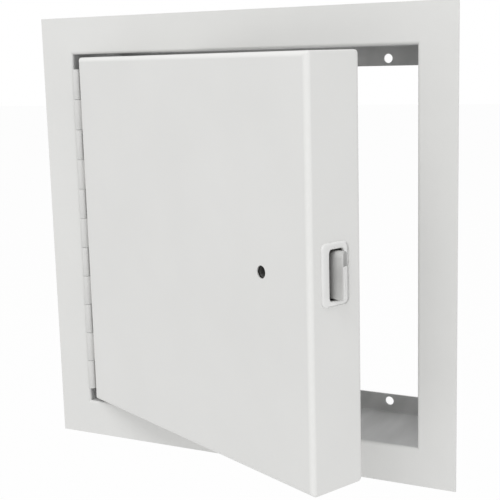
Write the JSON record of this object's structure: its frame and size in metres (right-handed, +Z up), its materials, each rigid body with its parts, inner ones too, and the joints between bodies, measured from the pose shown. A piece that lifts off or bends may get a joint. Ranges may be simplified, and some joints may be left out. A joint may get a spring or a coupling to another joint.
{
  "type": "fire-rated access door",
  "caption": "Square steel wall access door: folded frame with rear returns, thick filled leaf on a continuous hinge, key-drawn spring bolt.",
  "frame": {"origin": "middle of the frame's opening, on the wall's finished face, which is the back of the flange", "axes": "+X to the right seen from the room, +Y into the wall, +Z up; the leaf hinges at -X and stands open 25 degrees"},
  "size_m": [0.3734, 0.2036, 0.3734],
  "materials": {
    "frame_paint": "baked pale warm grey primer, satin",
    "leaf_paint": "baked pale warm grey primer, satin",
    "galvanised_steel": "galvanised sheet, dull",
    "bright_steel": "drawn bright steel",
    "mineral_wool": "compressed mineral wool slab",
    "bezel_enamel": "light enamel, a little brighter than the leaf",
    "bronze": "sintered bronze bush",
    "spring_steel": "spring wire",
    "blackened_steel": "blackened steel",
    "zinc_plated_steel": "zinc plate",
    "bolt_metal": "cast and tumbled, dull silver grey"
  },
  "bodies": {
    "frame": {"frame_head": "frame_paint", "frame_sill": "frame_paint", "frame_hinge_jamb": "frame_paint", "frame_latch_jamb": "frame_paint", "strike_plate": "galvanised_steel", "hinge_frame_plate": "frame_paint", "hinge_pin": "bright_steel"},
    "leaf": {"hinge_leaf_plate": "leaf_paint", "face_pan": "leaf_paint", "back_pan": "leaf_paint", "insulation_core": "mineral_wool", "latch_case": "galvanised_steel", "latch_case_cover": "galvanised_steel", "latch_bezel": "bezel_enamel", "key_bush": "bronze", "bolt_spring": "spring_steel"},
    "key": {"key_spindle": "blackened_steel", "spindle_crank": "zinc_plated_steel", "crank_pin": "zinc_plated_steel", "spindle_clip": "zinc_plated_steel", "release_lever": "zinc_plated_steel", "lever_screw": "zinc_plated_steel"},
    "bolt": {"latch_bolt": "bolt_metal", "bolt_tail": "zinc_plated_steel", "tail_rivet": "zinc_plated_steel"}
  },
  "joints": [
    {"name": "leaf_hinge", "type": "hinge", "parent": "frame", "child": "leaf", "pos_m": [-0.15245, -0.0015, 0], "axis": [0, 0, -1], "range_deg": [-25, 145]},
    {"name": "key_turn", "type": "hinge", "parent": "leaf", "child": "key", "pos_m": [0.07671, -0.10836, 0], "axis": [-0.4226, -0.9063, 0], "range_deg": [0, 45]},
    {"name": "bolt_slide", "type": "slide", "parent": "leaf", "child": "bolt", "axis": [-0.9063, 0.4226, 0], "range_m": [0, 0.0108], "stiffness_N_per_m": 100, "springref_m": -0.01, "deforming": ["bolt_spring"]}
  ],
  "couplings": [
    {"joint": "bolt_slide", "follows": "key_turn", "m_per_rad": 0.013643}
  ]
}
